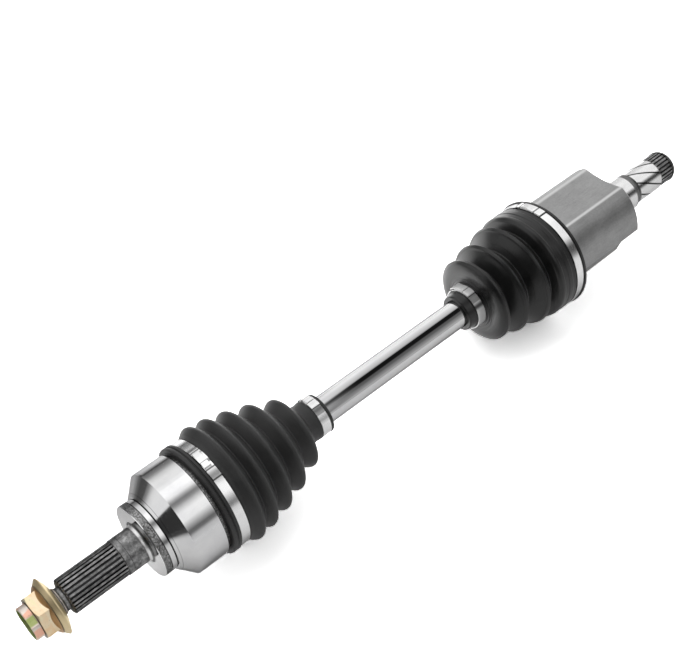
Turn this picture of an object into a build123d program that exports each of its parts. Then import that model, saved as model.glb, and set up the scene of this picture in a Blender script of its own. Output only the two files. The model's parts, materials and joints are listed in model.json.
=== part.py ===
from build123d import *
from math import cos, pi, radians, sin
import os

# CV axle (front half shaft), millimetres. The shaft lies along X, nut end at -X, gearbox end at +X.
# The origin is halfway along the axle, on its centre line.
# Stations along the axle are counted from hub_face_x, the face that seats on the wheel bearing.

os.makedirs("parts", exist_ok=True)

# ---- overall stations -------------------------------------------------------------------------
nut_end_x = -348.0
hub_face_x = nut_end_x + 96.4
stub_end_x = 348.0
outer_joint_x = hub_face_x + 50.0
inner_joint_x = hub_face_x + 444.0

# ---- wheel side: threaded and splined stub, bell ----------------------------------------------
thread_crest_r = 10.75
thread_root_r = 9.85
thread_pitch = 1.5
thread_start = -93.0
thread_turns = 16
relief_r = 9.4
hub_spline_start = -65.5
hub_spline_length = 45.5
hub_spline_crest_r = 14.3
hub_spline_root_r = 12.9
hub_spline_teeth = 27
hub_journal_r = 14.75
journal_fillet = 2.6
shoulder_r = 30.2
bell_r = 43.4
cone_start = 10.9
cone_root_r = 31.4
bell_knee = 22.0
boot_seat_r = 40.5
bell_mouth = 68.0

# ---- ball joint -------------------------------------------------------------------------------
ball_r = 8.15
ball_circle_r = 28.0
track_r = 9.2
bell_bore_r = 33.6
bell_mouth_r = 33.0
cage_outer_r = 33.3
cage_inner_r = 29.2
cage_half_width = 13.0
clear_r = 60.0  # any radius well outside the joint
window_half_width = 8.3
window_half_span = 9.8
race_r = 28.9
race_half_width = 11.0
upright_balls = (90, 270)
side_balls = (30, 150, 210, 330)

# ---- bar shaft --------------------------------------------------------------------------------
bar_r = 12.0
bar_spline_crest_r = 11.9
bar_spline_root_r = 11.0
bar_spline_teeth = 25
ring_groove_r = 10.6
ring_width = 1.6
spline_play = 0.03

# ---- axle nut and its captive washer ----------------------------------------------------------
nut_hex_flats = 32.0
nut_hex_front = -90.0
nut_hex_back = -80.5
nut_crown_r = 13.9
nut_bore_r = 10.9
crown_slots = 4
crown_slot_width = 8.6
crown_slot_depth = 5.8
crown_slot_floor_r = 12.0
nut_flange_r = 19.6
nut_flange_end = -79.0
nut_neck_r = 12.6
nut_lip_r = 13.3
washer_rim_r = 23.0
washer_seat = -71.9
washer_bore_r = 12.7

# ---- tripod joint -----------------------------------------------------------------------------
trunnion_angles = {"a": 22.0, "b": 142.0, "c": 262.0}
trunnion_r = 10.0
trunnion_end = 31.5
trunnion_collar_r = 12.6
clip_groove_start = 30.0
clip_groove_width = 1.2
clip_groove_depth = 0.8
retainer_r = 13.2
retainer_thickness = 0.8
roller_circle_r = 23.5
roller_r = 16.5
roller_half_width = 5.5
roller_bore_r = 12.56
needle_r = 1.24
needle_circle_r = 11.28
needle_count = 26
spider_hub_r = 16.0
spider_half_width = 13.0

# ---- gearbox side: three-lobed housing and stub -----------------------------------------------
lobe_r = 41.4
trough_floor = 33.5
trough_r = 85.0
track_half_width = 17.3
track_ceiling_r = 34.0
housing_mouth = 404.0
housing_back = 511.0
cavity_depth = 88.0
cavity_r = 17.5
mouth_relief_r = 29.0
mouth_relief_depth = 40.0
adapter_r = 45.8
adapter_length = 23.3
step_r = 16.8
step_end = 543.0
neck_r = 13.9
seal_land_r = 15.0
seal_land_start = 548.4
seal_land_end = 577.4
diff_spline_crest_r = 14.5
diff_spline_root_r = 13.5
diff_spline_teeth = 26

# ---- boots: crests and valleys as (station, outer radius) -------------------------------------
outboard_crests = [(74.8, 50.0), (88.2, 48.6), (104.8, 44.8), (123.1, 39.0), (143.4, 30.6)]
outboard_valleys = [(81.2, 43.0), (96.2, 38.4), (113.6, 32.6), (132.6, 25.8)]
inboard_crests = [(347.7, 38.2), (365.4, 42.5), (387.6, 47.0)]
inboard_valleys = [(356.6, 30.0), (376.9, 35.0), (397.2, 41.0)]
boot_wall = 3.0
boot_bore_r = 12.3
boot_gap = 0.3

# ---- band clamps: start station, width, inner radius, thickness, raised middle angle, half span -
clamps = {
    "outboard_large_clamp": (56.8, 7.8, 44.6, 1.0, 95.0, 18.0),
    "outboard_small_clamp": (161.2, 8.2, 15.9, 0.9, 104.0, 42.0),
    "inboard_small_clamp": (331.6, 8.0, 17.9, 0.9, 104.0, 42.0),
    "inboard_large_clamp": (419.6, 7.6, 48.7, 0.9, 98.0, 12.0),
}


def radial_plane(angle):
    """The plane through the shaft line at this angle from +Y, its own x along the shaft."""
    return Plane(origin=(0, 0, 0), x_dir=(1, 0, 0), z_dir=(0, -sin(radians(angle)), cos(radians(angle))))


def outward_plane(x, angle, distance=0.0):
    """A plane facing outward from the shaft line, this far out from it at station x."""
    outward = (0, cos(radians(angle)), sin(radians(angle)))
    start = (x, outward[1] * distance, outward[2] * distance)
    return Plane(origin=start, x_dir=(1, 0, 0), z_dir=outward)


def turned(start_x, outline, mode=Mode.ADD):
    """Revolve a closed outline of (distance past start_x, radius) points about the shaft line."""
    with BuildSketch(Plane.XZ) as section:
        with BuildLine():
            Polyline(*[(start_x + along, radius) for along, radius in outline], close=True)
        make_face()
    revolve(section.sketch, axis=Axis.X, mode=mode)


def ring_sector(start_x, width, inner_r, outer_r, middle_angle, sweep):
    """Part of a band round the shaft line, centred on middle_angle."""
    with BuildSketch(radial_plane(middle_angle - sweep / 2)) as section:
        with BuildLine():
            Polyline(
                (start_x, inner_r),
                (start_x + width, inner_r),
                (start_x + width, outer_r),
                (start_x, outer_r),
                close=True,
            )
        make_face()
    revolve(section.sketch, axis=Axis.X, revolution_arc=sweep)


def spline_gap(crest_r, root_r, teeth, play, mode):
    """One gap between spline teeth, on the sketch's own x."""
    pitch = 2 * pi / teeth
    root_half = 0.2 * pitch * root_r - play
    crest_half = 0.32 * pitch * crest_r - play
    Polygon(
        (root_r + play, -root_half),
        (crest_r + 1, -crest_half),
        (crest_r + 1, crest_half),
        (root_r + play, root_half),
        align=None,
        mode=mode,
    )


def spline_section(x, crest_r, root_r, teeth, play=0.0):
    """Cross-section of a straight-sided spline; play makes the matching hole's section."""
    with BuildSketch(Plane.YZ.offset(x)) as section:
        Circle(crest_r + play)
        with PolarLocations(0, teeth):
            spline_gap(crest_r, root_r, teeth, play, Mode.SUBTRACT)
    return section.sketch


def cut_spline(x, length, crest_r, root_r, teeth):
    """Cut the gaps of a spline into a round stub."""
    with BuildSketch(Plane.YZ.offset(x)) as gaps:
        with PolarLocations(0, teeth):
            spline_gap(crest_r, root_r, teeth, 0.0, Mode.ADD)
    extrude(gaps.sketch, amount=length, mode=Mode.SUBTRACT)


def cut_bar_hole(centre_x, half_width):
    """Cut the splined hole that the bar goes through."""
    hole = spline_section(
        centre_x - half_width, bar_spline_crest_r, bar_spline_root_r, bar_spline_teeth, spline_play
    )
    extrude(hole, amount=2 * half_width, mode=Mode.SUBTRACT)


def cut_ball_tracks(centre_x, start_angle, sweep):
    """Cut the six ball tracks, arcs of round section about the joint's centre."""
    for angle in upright_balls + side_balls:
        across = Vector(0, -sin(radians(angle)), cos(radians(angle)))
        pivot = Axis((centre_x, 0, 0), across)
        outward = Vector(0, cos(radians(angle)), sin(radians(angle)))
        with BuildSketch(Plane(origin=(centre_x, 0, 0), x_dir=outward, z_dir=(1, 0, 0))) as ball:
            with Locations((ball_circle_r, 0)):
                Circle(track_r)
        start = ball.sketch.rotate(pivot, start_angle)
        revolve(start, axis=pivot, revolution_arc=sweep, mode=Mode.SUBTRACT)


def make_balls(angles):
    """Balls on the pitch circle, at rest in the joint's middle plane."""
    for angle in angles:
        y = ball_circle_r * cos(radians(angle))
        z = ball_circle_r * sin(radians(angle))
        with Locations((outer_joint_x, y, z)):
            Sphere(ball_r)


def open_ring(start_x, width, inner_r, outer_r, gap_angle):
    """A snap ring round the shaft line with its gap at the top."""
    ring_sector(start_x, width, inner_r, outer_r, 270, 360 - gap_angle)


def boot_outline(first_end, crests, valleys, last_end):
    """Closed (station, radius) outline of a bellows: outer skin out, inner skin back."""
    outer = []
    inner = []
    for number, (station, radius) in enumerate(crests):
        outer += [(station - 2, radius), (station + 2, radius)]
        inner += [(station, radius - boot_wall)]
        if number < len(valleys):
            valley_x, valley_r = valleys[number]
            outer += [(valley_x, valley_r)]
            inner += [(valley_x - 1, valley_r - boot_wall), (valley_x + 1, valley_r - boot_wall)]
    return first_end[0] + outer + last_end[0] + last_end[1] + inner[::-1] + first_end[1]


# ---- bar shaft --------------------------------------------------------------------------------
shaft_start = outer_joint_x - 15.0
shaft_end = inner_joint_x + 18.0
race_spline_end = outer_joint_x + 14.0
spider_spline_start = inner_joint_x - 16.0

with BuildPart() as shaft:
    extrude(
        spline_section(shaft_start, bar_spline_crest_r, bar_spline_root_r, bar_spline_teeth),
        amount=race_spline_end - shaft_start,
    )
    extrude(
        spline_section(spider_spline_start, bar_spline_crest_r, bar_spline_root_r, bar_spline_teeth),
        amount=shaft_end - spider_spline_start,
    )
    bar_length = spider_spline_start - race_spline_end
    bar_chamfer = 0.8
    turned(
        race_spline_end,
        [
            (0, 0),
            (0, bar_r - bar_chamfer),
            (bar_chamfer, bar_r),
            (bar_length - bar_chamfer, bar_r),
            (bar_length, bar_r - bar_chamfer),
            (bar_length, 0),
        ],
    )
    ring_stations = (
        outer_joint_x - race_half_width - ring_width,
        outer_joint_x + race_half_width,
        inner_joint_x - spider_half_width - ring_width,
        inner_joint_x + spider_half_width,
    )
    for station in ring_stations:
        turned(
            station,
            [(0, ring_groove_r), (0, bar_r + 1), (ring_width, bar_r + 1), (ring_width, ring_groove_r)],
            mode=Mode.SUBTRACT,
        )
shaft.part.label = "shaft"
export_step(shaft.part, "parts/shaft.step")

# ---- bell: threaded end, splined stub, shoulder and ball-joint outer race in one forging ------
thread = []
for turn in range(thread_turns):
    start = thread_start + turn * thread_pitch
    thread += [(start + 0.05, thread_root_r), (start + 0.65, thread_crest_r), (start + 0.9, thread_crest_r)]
thread_end = thread_start + thread_turns * thread_pitch
hub_spline_end = hub_spline_start + hub_spline_length

stub_outline = (
    [(thread_start, 0)]
    + thread
    + [
        (thread_end + 0.05, thread_root_r),
        (thread_end + 1.0, relief_r),
        (hub_spline_start - 0.5, relief_r),
        (hub_spline_start, hub_spline_root_r - 0.2),
        (hub_spline_start + 0.9, hub_spline_crest_r),
        (hub_spline_end, hub_spline_crest_r),
        (hub_spline_end + 0.5, hub_journal_r),
        (-journal_fillet, hub_journal_r),
        (-0.6 * journal_fillet, hub_journal_r + 0.1 * journal_fillet),
        (-0.25 * journal_fillet, hub_journal_r + 0.35 * journal_fillet),
        (0, hub_journal_r + journal_fillet),
        (0, shoulder_r - 0.6),
        (0.6, shoulder_r),
        (5.5, shoulder_r),
        (5.7, shoulder_r - 0.8),
        (6.1, shoulder_r - 0.8),
        (6.3, shoulder_r - 0.1),
        (10.0, shoulder_r - 0.1),
        (10.2, shoulder_r - 0.7),
        (10.5, shoulder_r - 0.7),
        (cone_start, cone_root_r),
    ]
)

with BuildPart() as outboard_housing:
    with BuildSketch(Plane.XZ) as bell_section:
        with BuildLine():
            Polyline(*[(hub_face_x + along, radius) for along, radius in stub_outline])
            Polyline(
                (hub_face_x + cone_start, cone_root_r),
                (hub_face_x + bell_knee, bell_r - 0.2),
                (hub_face_x + bell_knee + 1.5, bell_r),
                (hub_face_x + 46.2, bell_r),
                (hub_face_x + 46.8, bell_r - 0.6),
                (hub_face_x + 46.8, boot_seat_r),
                (hub_face_x + bell_mouth - 0.8, boot_seat_r),
                (hub_face_x + bell_mouth, boot_seat_r - 0.8),
                (hub_face_x + bell_mouth, 0),
                (hub_face_x + thread_start, 0),
            )
        make_face()
    revolve(bell_section.sketch, axis=Axis.X)
    with Locations((outer_joint_x, 0, 0)):
        Sphere(bell_bore_r, mode=Mode.SUBTRACT)
    turned(
        hub_face_x + bell_mouth,
        [(0.5, 0), (-6.0, 0), (-6.0, bell_mouth_r - 6.0), (0, bell_mouth_r), (0.5, bell_mouth_r)],
        mode=Mode.SUBTRACT,
    )
    cut_ball_tracks(outer_joint_x, -58, 100)
    cut_spline(
        hub_face_x + hub_spline_start,
        hub_spline_length,
        hub_spline_crest_r,
        hub_spline_root_r,
        hub_spline_teeth,
    )
outboard_housing.part.label = "outboard_housing"
export_step(outboard_housing.part, "parts/outboard_housing.step")

# ---- axle nut: hexagon, slotted locking crown and the neck that holds the washer --------------
with BuildPart() as axle_nut:
    with BuildSketch(Plane.YZ.offset(hub_face_x + nut_hex_front)):
        RegularPolygon(nut_hex_flats / 2, 6, major_radius=False)
    extrude(amount=nut_hex_back - nut_hex_front)
    turned(
        hub_face_x,
        [
            (nut_hex_front, 0),
            (nut_hex_front, nut_hex_flats / 2),
            (nut_hex_front + 1.3, 18.6),
            (nut_hex_back, 18.6),
            (nut_hex_back, 0),
        ],
        mode=Mode.INTERSECT,
    )
    turned(
        hub_face_x,
        [
            (nut_flange_end - 4.4, nut_neck_r),
            (nut_flange_end - 4.4, nut_flange_r - 5.0),
            (nut_flange_end - 0.4, nut_flange_r),
            (nut_flange_end, nut_flange_r),
            (nut_flange_end, nut_neck_r),
        ],
    )
    crown_end = nut_end_x - hub_face_x
    turned(
        hub_face_x,
        [
            (crown_end, nut_bore_r + 0.8),
            (crown_end, nut_crown_r - 0.4),
            (crown_end + 0.4, nut_crown_r),
            (nut_hex_front + 0.5, nut_crown_r),
            (nut_hex_front + 0.5, nut_bore_r + 0.8),
        ],
    )
    turned(
        hub_face_x,
        [
            (nut_hex_back - 0.5, nut_bore_r),
            (nut_hex_back - 0.5, nut_neck_r),
            (washer_seat - 1.6, nut_neck_r),
            (washer_seat - 1.3, nut_lip_r),
            (washer_seat - 0.7, nut_lip_r),
            (washer_seat - 0.5, nut_bore_r),
        ],
    )
    turned(
        hub_face_x,
        [(crown_end, 0), (crown_end, nut_bore_r), (washer_seat, nut_bore_r), (washer_seat, 0)],
        mode=Mode.SUBTRACT,
    )
    with BuildSketch(Plane.YZ.offset(nut_end_x)) as slots:
        with PolarLocations(nut_crown_r, crown_slots, start_angle=30):
            Rectangle(2 * (nut_crown_r - crown_slot_floor_r), crown_slot_width)
    extrude(slots.sketch, amount=crown_slot_depth, mode=Mode.SUBTRACT)
axle_nut.part.label = "axle_nut"
export_step(axle_nut.part, "parts/axle_nut.step")

with BuildPart() as nut_washer:
    with BuildSketch(Plane.XZ) as washer_section:
        with BuildLine():
            washer_front = nut_flange_end + 0.3
            Polyline(
                (hub_face_x + washer_front, nut_flange_r + 0.2),
                (hub_face_x + washer_front + 2.6, washer_rim_r - 0.3),
                (hub_face_x + washer_front + 3.0, washer_rim_r),
                (hub_face_x + washer_front + 3.5, washer_rim_r),
                (hub_face_x + washer_front + 4.1, washer_rim_r - 0.5),
                (hub_face_x + washer_seat, 15.8),
                (hub_face_x + washer_seat, nut_lip_r + 0.3),
                (hub_face_x + washer_seat - 1.9, nut_lip_r + 0.3),
                (hub_face_x + washer_seat - 1.9, washer_bore_r),
                (hub_face_x + washer_front, washer_bore_r),
                close=True,
            )
        make_face()
    revolve(washer_section.sketch, axis=Axis.X)
nut_washer.part.label = "nut_washer"
export_step(nut_washer.part, "parts/nut_washer.step")

# ---- ball joint inner parts -------------------------------------------------------------------
with BuildPart() as inner_race:
    with Locations((outer_joint_x, 0, 0)):
        Sphere(race_r)
    turned(
        outer_joint_x,
        [
            (-race_half_width, 0),
            (-race_half_width, clear_r),
            (race_half_width, clear_r),
            (race_half_width, 0),
        ],
        mode=Mode.INTERSECT,
    )
    cut_ball_tracks(outer_joint_x, -60, 120)
    cut_bar_hole(outer_joint_x, race_half_width)
inner_race.part.label = "inner_race"
export_step(inner_race.part, "parts/inner_race.step")

with BuildPart() as ball_cage:
    with Locations((outer_joint_x, 0, 0)):
        Sphere(cage_outer_r)
        Sphere(cage_inner_r, mode=Mode.SUBTRACT)
    turned(
        outer_joint_x,
        [
            (-cage_half_width, 0),
            (-cage_half_width, clear_r),
            (cage_half_width, clear_r),
            (cage_half_width, 0),
        ],
        mode=Mode.INTERSECT,
    )
    for angle in upright_balls + side_balls:
        with BuildSketch(outward_plane(outer_joint_x, angle)) as window:
            RectangleRounded(2 * window_half_width, 2 * window_half_span, 2.0)
        extrude(window.sketch, amount=clear_r, mode=Mode.SUBTRACT)
ball_cage.part.label = "ball_cage"
export_step(ball_cage.part, "parts/ball_cage.step")

with BuildPart() as upright_ball_pair:
    make_balls(upright_balls)
upright_ball_pair.part.label = "upright_ball_pair"
export_step(upright_ball_pair.part, "parts/upright_ball_pair.step")

with BuildPart() as side_ball_set:
    make_balls(side_balls)
side_ball_set.part.label = "side_ball_set"
export_step(side_ball_set.part, "parts/side_ball_set.step")

snap_rings = {
    "race_circlip": outer_joint_x - race_half_width - ring_width,
    "race_stop_ring": outer_joint_x + race_half_width,
    "spider_stop_ring": inner_joint_x - spider_half_width - ring_width,
    "spider_circlip": inner_joint_x + spider_half_width,
}
for ring_name, station in snap_rings.items():
    with BuildPart() as snap_ring:
        open_ring(station + 0.05, ring_width - 0.1, ring_groove_r + 0.05, bar_r + 1.4, 30)
    snap_ring.part.label = ring_name
    export_step(snap_ring.part, f"parts/{ring_name}.step")

# ---- tripod: spider, needle bearings, rollers and their keepers -------------------------------
with BuildPart() as spider:
    turned(
        inner_joint_x,
        [
            (-spider_half_width, 0),
            (-spider_half_width, spider_hub_r - 1),
            (1 - spider_half_width, spider_hub_r),
            (spider_half_width - 1, spider_hub_r),
            (spider_half_width, spider_hub_r - 1),
            (spider_half_width, 0),
        ],
    )
    for angle in trunnion_angles.values():
        with BuildSketch(outward_plane(inner_joint_x, angle)) as trunnion:
            Circle(trunnion_r)
        extrude(trunnion.sketch, amount=trunnion_end)
        with BuildSketch(outward_plane(inner_joint_x, angle)) as collar:
            Circle(trunnion_collar_r)
        extrude(collar.sketch, amount=roller_circle_r - roller_half_width - 0.2)
        with BuildSketch(outward_plane(inner_joint_x, angle, clip_groove_start)) as clip_groove:
            Circle(trunnion_r + 1)
            Circle(trunnion_r - clip_groove_depth, mode=Mode.SUBTRACT)
        extrude(clip_groove.sketch, amount=clip_groove_width, mode=Mode.SUBTRACT)
    cut_bar_hole(inner_joint_x, spider_half_width)
spider.part.label = "spider"
export_step(spider.part, "parts/spider.step")

roller_foot = roller_circle_r - roller_half_width
for letter, angle in trunnion_angles.items():
    trunnion_axis = Axis((inner_joint_x, 0, 0), (0, cos(radians(angle)), sin(radians(angle))))
    roller_top = roller_circle_r + roller_half_width
    edge_r = (roller_r**2 - roller_half_width**2) ** 0.5

    with BuildPart() as roller:
        with BuildSketch(radial_plane(angle)) as roller_section:
            with BuildLine():
                Polyline(
                    (inner_joint_x + edge_r, roller_foot),
                    (inner_joint_x + roller_bore_r + 0.4, roller_foot),
                    (inner_joint_x + roller_bore_r, roller_foot + 0.4),
                    (inner_joint_x + roller_bore_r, roller_top - 0.4),
                    (inner_joint_x + roller_bore_r + 0.4, roller_top),
                    (inner_joint_x + edge_r, roller_top),
                )
                ThreePointArc(
                    (inner_joint_x + edge_r, roller_top),
                    (inner_joint_x + roller_r, roller_circle_r),
                    (inner_joint_x + edge_r, roller_foot),
                )
            make_face()
        revolve(roller_section.sketch, axis=trunnion_axis)
    roller.part.label = f"roller_{letter}"
    export_step(roller.part, f"parts/roller_{letter}.step")

    with BuildPart() as needle_set:
        with BuildSketch(outward_plane(inner_joint_x, angle, roller_foot + 0.4)) as needles:
            with PolarLocations(needle_circle_r, needle_count):
                Circle(needle_r)
        extrude(needles.sketch, amount=2 * roller_half_width - 0.8)
    needle_set.part.label = f"needle_set_{letter}"
    export_step(needle_set.part, f"parts/needle_set_{letter}.step")

    with BuildPart() as retainer:
        with BuildSketch(outward_plane(inner_joint_x, angle, roller_top + 0.15)) as washer:
            Circle(retainer_r)
            Circle(trunnion_r + 0.05, mode=Mode.SUBTRACT)
        extrude(washer.sketch, amount=retainer_thickness)
    retainer.part.label = f"roller_retainer_{letter}"
    export_step(retainer.part, f"parts/roller_retainer_{letter}.step")

    with BuildPart() as keeper:
        with BuildSketch(outward_plane(inner_joint_x, angle, clip_groove_start + 0.1)) as keeper_ring:
            Circle(trunnion_r + 1.4)
            Circle(trunnion_r - clip_groove_depth + 0.05, mode=Mode.SUBTRACT)
            with Locations((trunnion_r, 0)):
                Rectangle(2 * trunnion_r, trunnion_r / 2, mode=Mode.SUBTRACT)
        extrude(keeper_ring.sketch, amount=clip_groove_width - 0.2)
    keeper.part.label = f"roller_circlip_{letter}"
    export_step(keeper.part, f"parts/roller_circlip_{letter}.step")


def lobed_outline(x, play=0.0):
    """Three-lobed outline of the tripod housing: a circle with three shallow troughs."""
    with BuildSketch(Plane.YZ.offset(x)) as outline:
        Circle(lobe_r + play)
        with PolarLocations(trough_floor + trough_r, 3, start_angle=trunnion_angles["a"] + 60):
            Circle(trough_r - play, mode=Mode.SUBTRACT)
        fillet(outline.vertices(), 2.5)
    return outline.sketch


with BuildPart() as tripod_housing:
    extrude(lobed_outline(hub_face_x + housing_mouth), amount=housing_back - housing_mouth)
    chamfer(tripod_housing.faces().sort_by(Axis.X)[-1].edges(), 1.4)
    chamfer(tripod_housing.faces().sort_by(Axis.X)[0].edges(), 0.8)
    with BuildSketch(Plane.YZ.offset(hub_face_x + housing_mouth)) as cavity:
        Circle(cavity_r)
        with PolarLocations(0, 3, start_angle=trunnion_angles["a"]):
            with Locations((track_ceiling_r / 2, 0)):
                Rectangle(track_ceiling_r, 2 * track_half_width)
        Circle(track_ceiling_r, mode=Mode.INTERSECT)
    extrude(cavity.sketch, amount=cavity_depth, mode=Mode.SUBTRACT)
    turned(
        hub_face_x + housing_mouth,
        [
            (-0.5, 0),
            (-0.5, mouth_relief_r),
            (0, mouth_relief_r),
            (mouth_relief_depth, cavity_r),
            (mouth_relief_depth, 0),
        ],
        mode=Mode.SUBTRACT,
    )
    spline_start = seal_land_end + 0.6
    stub_end = stub_end_x - hub_face_x
    turned(
        hub_face_x,
        [
            (housing_back - 1, 0),
            (housing_back - 1, 28.0),
            (housing_back + 1, 27.0),
            (housing_back + 7, step_r + 1.2),
            (housing_back + 10, step_r),
            (step_end - 0.6, step_r),
            (step_end, step_r - 0.6),
            (step_end, neck_r),
            (seal_land_start - 0.8, neck_r),
            (seal_land_start, seal_land_r - 0.2),
            (seal_land_start + 0.2, seal_land_r),
            (seal_land_end, seal_land_r),
            (spline_start, diff_spline_crest_r),
            (stub_end - 5.6, diff_spline_crest_r),
            (stub_end - 5.6, 13.0),
            (stub_end - 4.0, 13.0),
            (stub_end - 4.0, diff_spline_crest_r),
            (stub_end - 2.2, diff_spline_crest_r - 0.3),
            (stub_end - 0.4, diff_spline_root_r - 1.2),
            (stub_end, diff_spline_root_r - 3.0),
            (stub_end, 0),
        ],
    )
    cut_spline(
        hub_face_x + spline_start + 0.4,
        stub_end - spline_start,
        diff_spline_crest_r,
        diff_spline_root_r,
        diff_spline_teeth,
    )
tripod_housing.part.label = "tripod_housing"
export_step(tripod_housing.part, "parts/tripod_housing.step")

with BuildPart() as stub_circlip:
    open_ring(hub_face_x + stub_end - 5.5, 1.4, 13.1, diff_spline_crest_r + 0.5, 24)
stub_circlip.part.label = "stub_circlip"
export_step(stub_circlip.part, "parts/stub_circlip.step")

with BuildPart() as trilobe_adapter:
    adapter_x = hub_face_x + housing_mouth + 1.5
    with BuildSketch(Plane.YZ.offset(adapter_x)) as adapter_section:
        Circle(adapter_r)
    extrude(adapter_section.sketch, amount=adapter_length)
    extrude(lobed_outline(adapter_x, 0.05), amount=adapter_length, mode=Mode.SUBTRACT)
trilobe_adapter.part.label = "trilobe_adapter"
export_step(trilobe_adapter.part, "parts/trilobe_adapter.step")

# ---- boots: closed bellows, a little clear of the metal they seal -----------------------------
outboard_cuff_outer = [
    (49.8, 45.2),
    (50.8, 46.3),
    (56.4, 46.3),
    (56.6, 44.3),
    (64.8, 44.3),
    (65.6, 46.5),
    (71.0, 49.0),
]
outboard_cuff_inner = [(73.0, 46.0), (69.0, boot_seat_r + boot_gap), (49.8, boot_seat_r + boot_gap)]
outboard_neck_outer = [
    (148.0, 22.0),
    (150.4, 16.6),
    (160.8, 16.2),
    (161.0, 15.6),
    (169.6, 15.6),
    (172.8, 15.3),
]
outboard_neck_inner = [(172.8, boot_bore_r), (150.0, boot_bore_r), (146.5, 19.0)]

with BuildPart() as outboard_boot:
    turned(
        hub_face_x,
        boot_outline(
            (outboard_cuff_outer, outboard_cuff_inner),
            outboard_crests,
            outboard_valleys,
            (outboard_neck_outer, outboard_neck_inner),
        ),
    )
outboard_boot.part.label = "outboard_boot"
export_step(outboard_boot.part, "parts/outboard_boot.step")

inboard_neck_outer = [
    (324.0, 15.2),
    (324.6, 15.8),
    (331.2, 16.8),
    (331.4, 17.6),
    (339.8, 17.6),
    (340.2, 19.6),
    (342.8, 32.0),
]
inboard_neck_inner = [(345.0, 30.5), (341.8, boot_bore_r), (324.0, boot_bore_r)]
inboard_cuff_outer = [
    (400.0, 47.6),
    (402.6, 49.2),
    (418.8, 49.3),
    (419.4, 48.4),
    (427.4, 48.4),
    (427.6, 50.7),
    (430.8, 50.4),
]
inboard_cuff_inner = [(430.8, adapter_r + boot_gap), (404.6, adapter_r + boot_gap), (401.4, 44.8)]

with BuildPart() as inboard_boot:
    turned(
        hub_face_x,
        boot_outline(
            (inboard_neck_outer, inboard_neck_inner),
            inboard_crests,
            inboard_valleys,
            (inboard_cuff_outer, inboard_cuff_inner),
        ),
    )
inboard_boot.part.label = "inboard_boot"
export_step(inboard_boot.part, "parts/inboard_boot.step")

# ---- band clamps: a thin ring with a raised, overlapped stretch -------------------------------
for clamp_name, (start, width, inner_r, thickness, middle, half_span) in clamps.items():
    with BuildPart() as clamp:
        band_r = inner_r + thickness
        turned(hub_face_x + start, [(0, inner_r), (0, band_r), (width, band_r), (width, inner_r)])
        ring_sector(hub_face_x + start, width, band_r - 0.2, band_r + thickness, middle, 2 * half_span)
    clamp.part.label = clamp_name
    export_step(clamp.part, f"parts/{clamp_name}.step")
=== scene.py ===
import json
import math
import bpy
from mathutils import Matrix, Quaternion, Vector


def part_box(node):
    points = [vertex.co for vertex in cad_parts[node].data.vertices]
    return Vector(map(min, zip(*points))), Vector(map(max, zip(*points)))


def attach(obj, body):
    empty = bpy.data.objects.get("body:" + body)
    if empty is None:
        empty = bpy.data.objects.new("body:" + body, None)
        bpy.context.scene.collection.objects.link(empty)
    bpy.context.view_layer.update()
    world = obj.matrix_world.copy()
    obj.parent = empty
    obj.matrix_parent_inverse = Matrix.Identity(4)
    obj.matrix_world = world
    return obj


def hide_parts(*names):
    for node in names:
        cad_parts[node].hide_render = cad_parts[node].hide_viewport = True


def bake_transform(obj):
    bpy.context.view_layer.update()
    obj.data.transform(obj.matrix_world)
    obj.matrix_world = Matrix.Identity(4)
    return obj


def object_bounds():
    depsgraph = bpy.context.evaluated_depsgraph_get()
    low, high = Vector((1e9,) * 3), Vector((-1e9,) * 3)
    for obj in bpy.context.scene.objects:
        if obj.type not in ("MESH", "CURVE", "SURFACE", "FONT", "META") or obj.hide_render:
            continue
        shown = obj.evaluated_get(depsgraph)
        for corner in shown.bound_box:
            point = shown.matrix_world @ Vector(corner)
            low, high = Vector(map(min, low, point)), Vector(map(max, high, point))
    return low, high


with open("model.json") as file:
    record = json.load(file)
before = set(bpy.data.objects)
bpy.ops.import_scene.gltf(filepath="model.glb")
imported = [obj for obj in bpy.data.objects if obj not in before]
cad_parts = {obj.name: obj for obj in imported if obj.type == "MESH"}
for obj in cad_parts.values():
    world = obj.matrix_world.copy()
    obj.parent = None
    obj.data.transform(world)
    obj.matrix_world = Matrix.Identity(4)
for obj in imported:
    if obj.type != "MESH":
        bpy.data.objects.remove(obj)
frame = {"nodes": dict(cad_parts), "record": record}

cad_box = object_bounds()

# Lengths are millimetres up to MM, which makes them metres. Stations along the axle are counted from
# the shoulder that seats on the wheel bearing, with the axle line as x and +Z up.
MM = 0.001
STUB_LENGTH = 93.0
SHOULDER_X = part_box("outboard_housing")[0].x + STUB_LENGTH * MM
FLOOR_Z = cad_box[0].z

# Folds of the boots, as (station, radius).
OUTBOARD_CRESTS = [(74.8, 50.0), (88.2, 48.6), (104.8, 44.8), (123.1, 39.0), (143.4, 30.6)]
OUTBOARD_VALLEYS = [(81.2, 42.6), (96.2, 37.8), (113.6, 32.0), (132.6, 25.3)]
INBOARD_CRESTS = [(347.7, 38.2), (365.4, 42.5), (387.6, 47.0)]
INBOARD_VALLEYS = [(356.2, 27.0), (376.4, 31.5), (396.8, 39.0)]
BOOT_WALL = 2.4
AROUND = 160

# The tripod housing has three shallow troughs, each part of a large circle. The lobed ring fits round
# them with a little play.
TROUGH_ANGLES = (82, 202, 322)
RING_BORE = 41.46
RING_TROUGH_FLOOR = 33.56
RING_TROUGH_RADIUS = 84.94


def along(station):
    """Frame x of a station."""
    return SHOULDER_X + station * MM


def on_circle(station, radius, angle):
    """Frame point at a radius from the axle line, at an angle from +Y towards +Z."""
    return (along(station), radius * MM * math.cos(angle), radius * MM * math.sin(angle))


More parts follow.
